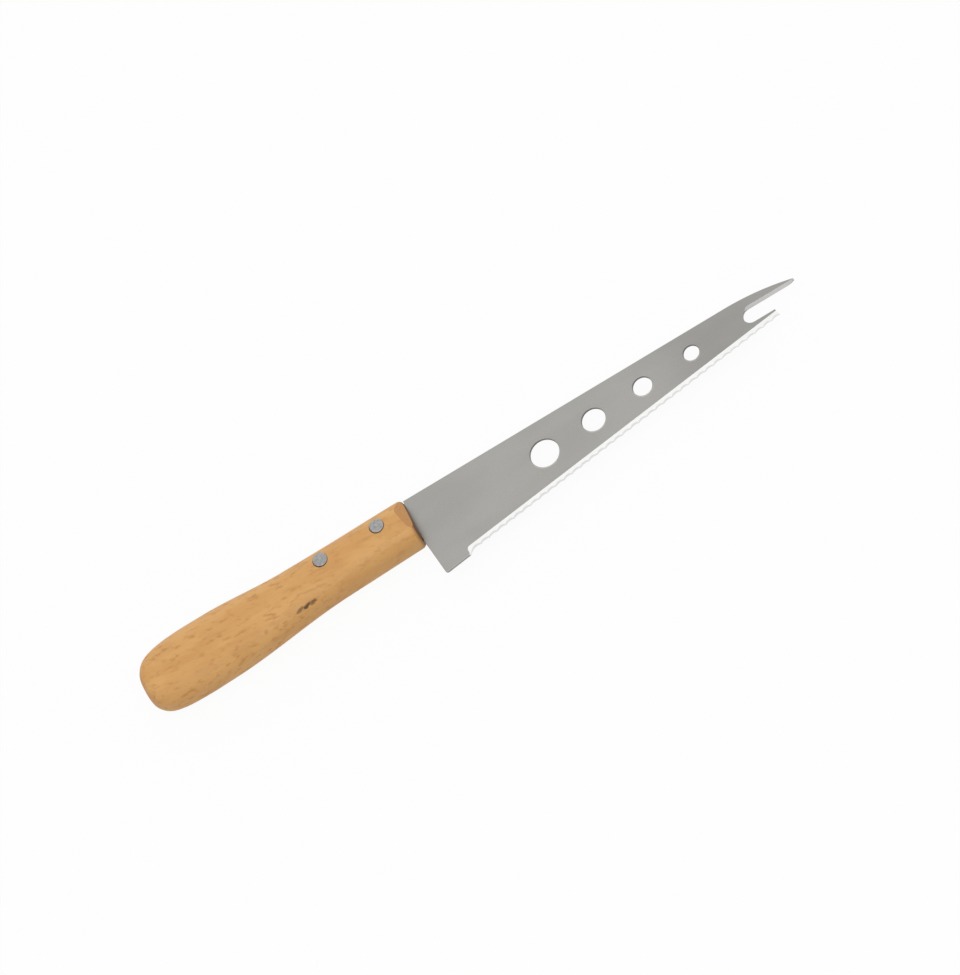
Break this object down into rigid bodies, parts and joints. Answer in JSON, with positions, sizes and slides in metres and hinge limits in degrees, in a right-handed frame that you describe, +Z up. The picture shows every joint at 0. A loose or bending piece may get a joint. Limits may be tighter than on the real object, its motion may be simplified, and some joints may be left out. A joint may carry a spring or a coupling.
{
  "type": "cheese_knife",
  "caption": "Cheese knife: pierced steel blade with a waved edge and a forked tip, riveted by its tang into the sawn kerf of a rounded light wood handle.",
  "frame": {"origin": "middle of the bounding box's underside; the knife lies on one flat side of its handle", "axes": "+X runs along the knife to its tip, +Y towards the spine, +Z up, away from the surface it lies on"},
  "size_m": [0.2644, 0.034, 0.0154],
  "materials": {
    "blade_steel": "fine satin, ground bright along the edge",
    "handle_wood": "smooth, lightly oiled beech",
    "rivet_metal": "dull, slightly scratched"
  },
  "bodies": {
    "root": {"blade": "blade_steel", "handle": "handle_wood", "front_rivet_sleeve": "rivet_metal", "front_rivet_post": "rivet_metal", "rear_rivet_sleeve": "rivet_metal", "rear_rivet_post": "rivet_metal"}
  },
  "joints": []
}
